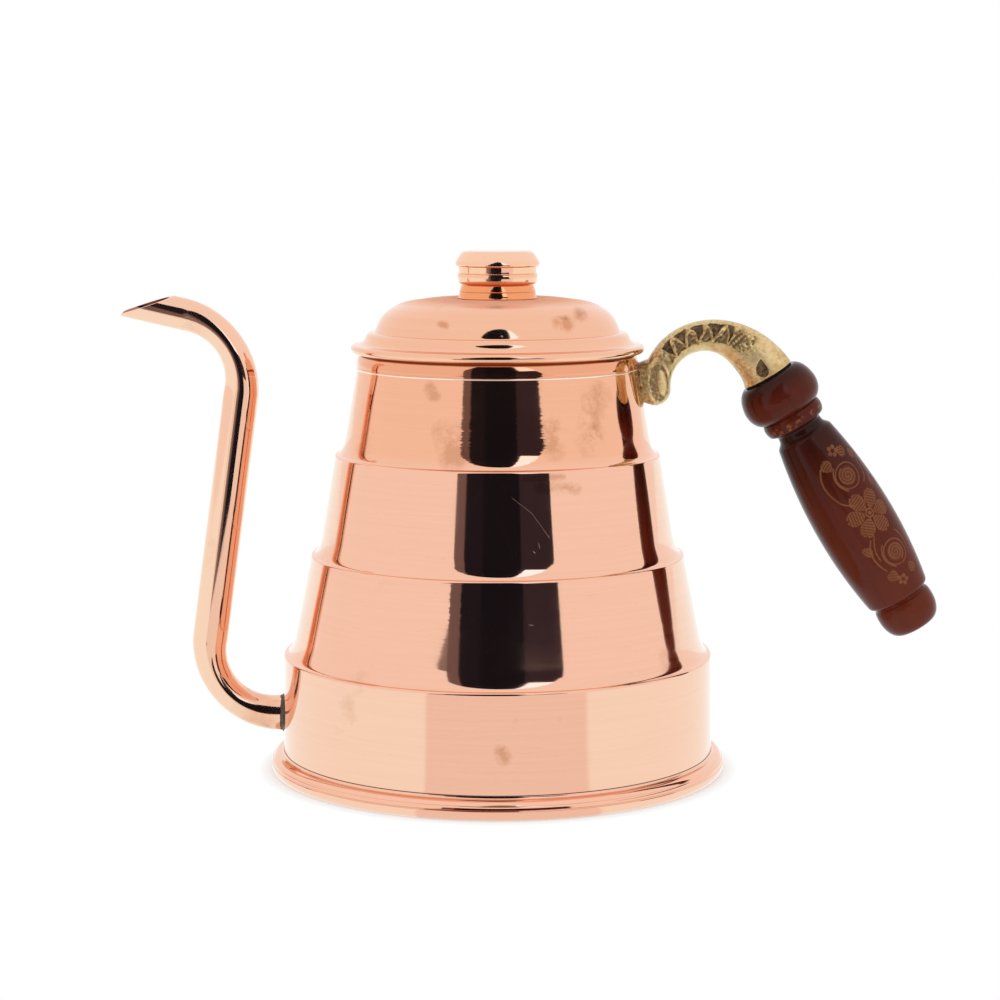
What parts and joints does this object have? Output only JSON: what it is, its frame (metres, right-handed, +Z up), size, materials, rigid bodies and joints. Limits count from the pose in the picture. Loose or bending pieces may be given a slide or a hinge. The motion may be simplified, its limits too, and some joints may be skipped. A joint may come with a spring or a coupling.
{
  "type": "gooseneck kettle",
  "caption": "Stepped conical copper pouring kettle with a thin bent spout, a lift-off domed lid with a knob, and a cast brass bracket that carries a turned wooden grip.",
  "frame": {"origin": "centre of the flat base, on the axis of the round body", "axes": "+Z up along the body's axis, +X towards the handle, -X towards the spout"},
  "size_m": [0.266, 0.149, 0.1697],
  "materials": {
    "body_copper": "polished spun copper with fine turning lines and light scratches",
    "fixing_copper": "plain copper",
    "solder": "dull dark tin solder",
    "cast_brass": "antiqued cast brass, polished on the raised borders",
    "lacquered_wood": "glossy dark red lacquer over turned and engraved wood",
    "steel": "plain zinc-plated steel"
  },
  "bodies": {
    "kettle": {"body_shell": "body_copper", "mouth_band": "body_copper", "base_plate": "body_copper", "foot_ring": "body_copper", "spout_tube": "body_copper", "spout_solder": "solder", "handle_bracket": "cast_brass", "bracket_rivets": "fixing_copper", "rivet_burrs": "fixing_copper", "grip": "lacquered_wood", "tie_rod": "steel", "grip_washer": "steel", "grip_nut": "steel"},
    "lid": {"lid_shell": "body_copper", "lid_wire": "fixing_copper", "lid_skirt": "body_copper", "knob_neck": "body_copper", "knob_cap": "body_copper", "knob_boss": "cast_brass", "knob_screw": "steel", "knob_washer": "steel"}
  },
  "joints": [
    {"name": "lid_lift", "type": "slide", "parent": "kettle", "child": "lid", "axis": [0, 0, 1], "range_m": [0, 0.06]}
  ]
}
